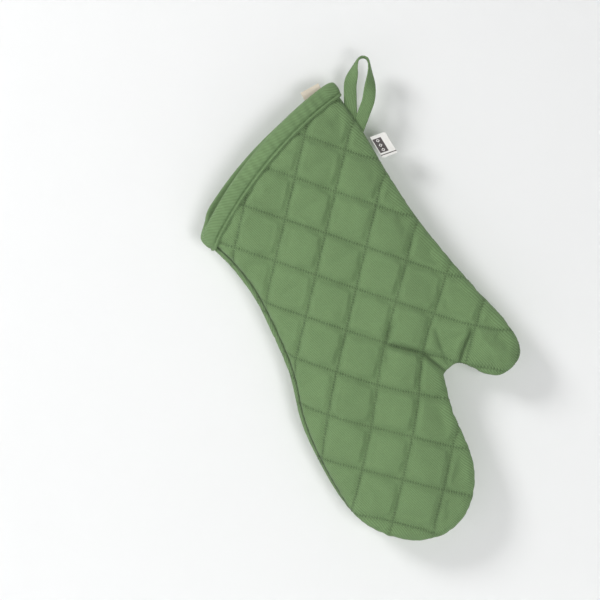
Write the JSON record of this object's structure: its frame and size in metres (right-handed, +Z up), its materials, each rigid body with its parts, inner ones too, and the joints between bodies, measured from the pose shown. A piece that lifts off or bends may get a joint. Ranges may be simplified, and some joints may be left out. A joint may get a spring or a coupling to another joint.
{
  "type": "oven mitt",
  "caption": "Quilted fabric oven mitt with a separate thumb, a bound slanted cuff and a hanging loop.",
  "frame": {"origin": "where a hook meets the inside of the hanging loop's top", "axes": "+Z up as the mitt hangs, -Y towards the viewer, +X towards the thumb's side"},
  "size_m": [0.2366, 0.028, 0.3594],
  "materials": {
    "green_twill": "mid green cotton twill, matt",
    "batting": "off-white cotton and polyester wadding",
    "green_lining": "green plain-weave cotton, matt",
    "green_binding": "bias strip of the same green twill",
    "green_thread": "green sewing thread",
    "green_tape": "folded tape of the same green twill",
    "white_label": "woven white label, folded",
    "beige_care_label": "satin care label"
  },
  "bodies": {
    "loop": {"hanging_loop": "green_tape"},
    "hand": {"front_cover_hand": "green_twill", "front_batting_hand": "batting", "front_lining_hand": "green_lining", "back_cover_hand": "green_twill", "back_batting_hand": "batting", "back_lining_hand": "green_lining", "cuff_binding": "green_binding", "binding_thread": "green_thread"},
    "fingers": {"front_cover_fingers": "green_twill", "front_batting_fingers": "batting", "front_lining_fingers": "green_lining", "back_cover_fingers": "green_twill", "back_batting_fingers": "batting", "back_lining_fingers": "green_lining"},
    "thumb": {"front_cover_thumb": "green_twill", "front_batting_thumb": "batting", "front_lining_thumb": "green_lining", "back_cover_thumb": "green_twill", "back_batting_thumb": "batting", "back_lining_thumb": "green_lining"},
    "label_tab": {"side_label": "white_label"},
    "care_tab": {"care_label": "beige_care_label"}
  },
  "joints": [
    {"name": "loop_fold", "type": "hinge", "parent": "loop", "child": "hand", "pos_m": [-0.01467, 0, -0.02635], "axis": [0.5544, 0, -0.8323], "range_deg": [-60, 60]},
    {"name": "finger_flex", "type": "hinge", "parent": "hand", "child": "fingers", "pos_m": [0.01091, -0.01365, -0.26507], "axis": [-0.8746, 0, -0.4848], "range_deg": [0, 60], "stiffness_Nm_per_rad": 0.08},
    {"name": "thumb_flex", "type": "hinge", "parent": "hand", "child": "thumb", "pos_m": [0.06172, -0.01365, -0.14429], "axis": [0.0122, 0, -0.9999], "range_deg": [0, 45], "stiffness_Nm_per_rad": 0.04},
    {"name": "label_flap", "type": "hinge", "parent": "hand", "child": "label_tab", "pos_m": [0.00448, 0, -0.05822], "axis": [0.512, 0, -0.859], "range_deg": [-80, 80], "stiffness_Nm_per_rad": 0.00005},
    {"name": "care_label_flap", "type": "hinge", "parent": "hand", "child": "care_tab", "pos_m": [-0.03315, 0, -0.01852], "axis": [0.4848, 0, -0.8746], "range_deg": [-8, 8], "stiffness_Nm_per_rad": 0.00005}
  ]
}
